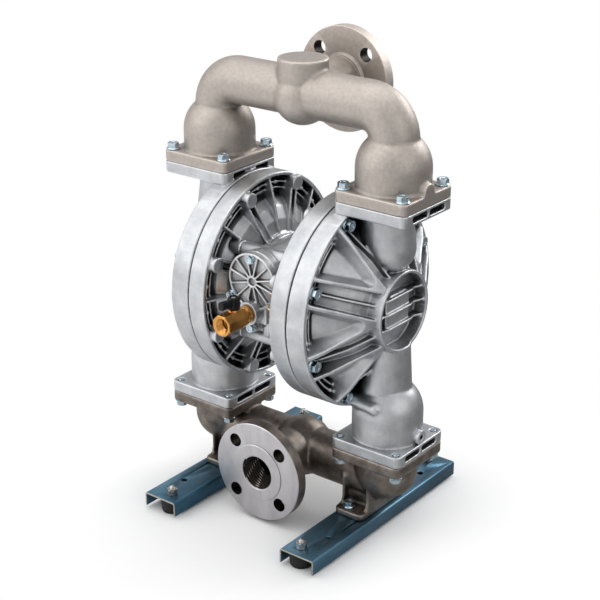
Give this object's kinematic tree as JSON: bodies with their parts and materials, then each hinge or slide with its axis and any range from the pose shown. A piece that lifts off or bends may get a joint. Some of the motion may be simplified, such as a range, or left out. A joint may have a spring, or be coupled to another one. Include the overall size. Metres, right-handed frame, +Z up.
{
  "type": "air operated diaphragm pump",
  "caption": "Air operated double diaphragm pump with flanged suction and discharge manifolds, ribbed chambers, ball check valves and a front air shut-off valve on two base rails.",
  "frame": {"origin": "on the floor, under the middle of the bounding box", "axes": "+X along the diaphragm rod, -Y the front with suction flange and air valve, +Z up"},
  "size_m": [0.389, 0.334, 0.646],
  "materials": {
    "die_cast_aluminium": "as cast, fine matt",
    "gravity_cast_aluminium": "as cast, sand textured",
    "machined_aluminium": "turned",
    "zinc_plated_rail": "blue zinc plated",
    "zinc_plated_bolt": "bright zinc plated",
    "stainless_steel": "plain",
    "foot_rubber": "matt black",
    "diaphragm_rubber": "matt black",
    "ball_rubber": "matt black",
    "brass": "turned",
    "black_plastic": "moulded",
    "bearing_plastic": "turned",
    "silencer_plastic": "moulded"
  },
  "bodies": {
    "pump": {"air_chamber_left": "die_cast_aluminium", "air_chamber_right": "die_cast_aluminium", "base_rail_left": "zinc_plated_rail", "base_rail_right": "zinc_plated_rail", "cap_bolts": "zinc_plated_bolt", "centre_body": "die_cast_aluminium", "chamber_bolts_left": "zinc_plated_bolt", "chamber_bolts_right": "zinc_plated_bolt", "diaphragm_left": "diaphragm_rubber", "diaphragm_right": "diaphragm_rubber", "exhaust_silencer": "silencer_plastic", "foot_nuts": "stainless_steel", "foot_studs": "stainless_steel", "foot_washers": "stainless_steel", "inlet_manifold": "gravity_cast_aluminium", "inlet_manifold_bolts": "zinc_plated_bolt", "inlet_seat_left": "machined_aluminium", "inlet_seat_right": "machined_aluminium", "outer_chamber_left": "die_cast_aluminium", "outer_chamber_right": "die_cast_aluminium", "outlet_manifold": "gravity_cast_aluminium", "outlet_manifold_bolts": "zinc_plated_bolt", "outlet_seat_left": "machined_aluminium", "outlet_seat_right": "machined_aluminium", "pedestal_bolts": "zinc_plated_bolt", "pedestal_nuts": "zinc_plated_bolt", "rod_bushing_left": "bearing_plastic", "rod_bushing_right": "bearing_plastic", "rubber_feet": "foot_rubber", "shut_off_body": "brass", "spool_sleeve": "brass", "valve_cap": "die_cast_aluminium"},
    "rod": {"centre_rod": "stainless_steel", "inner_disc_left": "die_cast_aluminium", "inner_disc_right": "die_cast_aluminium", "outer_disc_left": "die_cast_aluminium", "outer_disc_right": "die_cast_aluminium", "disc_nut_left": "stainless_steel", "disc_nut_right": "stainless_steel"},
    "pilot": {"pilot_rod": "stainless_steel"},
    "spool": {"spool": "stainless_steel"},
    "lever": {"shut_off_lever": "black_plastic", "shut_off_stem": "stainless_steel", "shut_off_ball": "stainless_steel", "lever_screw": "stainless_steel"},
    "inlet_ball_left": {"inlet_ball_left": "ball_rubber"},
    "inlet_ball_right": {"inlet_ball_right": "ball_rubber"},
    "outlet_ball_left": {"outlet_ball_left": "ball_rubber"},
    "outlet_ball_right": {"outlet_ball_right": "ball_rubber"}
  },
  "joints": [
    {"name": "rod_stroke", "type": "slide", "parent": "pump", "child": "rod", "axis": [1, 0, 0], "range_m": [-0.02, 0.02], "deforming": ["diaphragm_left", "diaphragm_right"]},
    {"name": "pilot_rod_shift", "type": "slide", "parent": "pump", "child": "pilot", "axis": [1, 0, 0], "range_m": [-0.004, 0.004]},
    {"name": "spool_shift", "type": "slide", "parent": "pump", "child": "spool", "axis": [0, 1, 0], "range_m": [-0.006, 0.006]},
    {"name": "lever_turn", "type": "hinge", "parent": "pump", "child": "lever", "pos_m": [0, -0.142, 0.311], "axis": [0, 0, 1], "range_deg": [0, 90]},
    {"name": "inlet_ball_left_lift", "type": "slide", "parent": "pump", "child": "inlet_ball_left", "axis": [0, 0, 1], "range_m": [0, 0.01]},
    {"name": "inlet_ball_right_lift", "type": "slide", "parent": "pump", "child": "inlet_ball_right", "axis": [0, 0, 1], "range_m": [0, 0.01]},
    {"name": "outlet_ball_left_lift", "type": "slide", "parent": "pump", "child": "outlet_ball_left", "axis": [0, 0, 1], "range_m": [0, 0.01]},
    {"name": "outlet_ball_right_lift", "type": "slide", "parent": "pump", "child": "outlet_ball_right", "axis": [0, 0, 1], "range_m": [0, 0.01]}
  ],
  "couplings": [
    {"joint": "pilot_rod_shift", "follows": "rod_stroke", "ratio": 0.2}
  ]
}
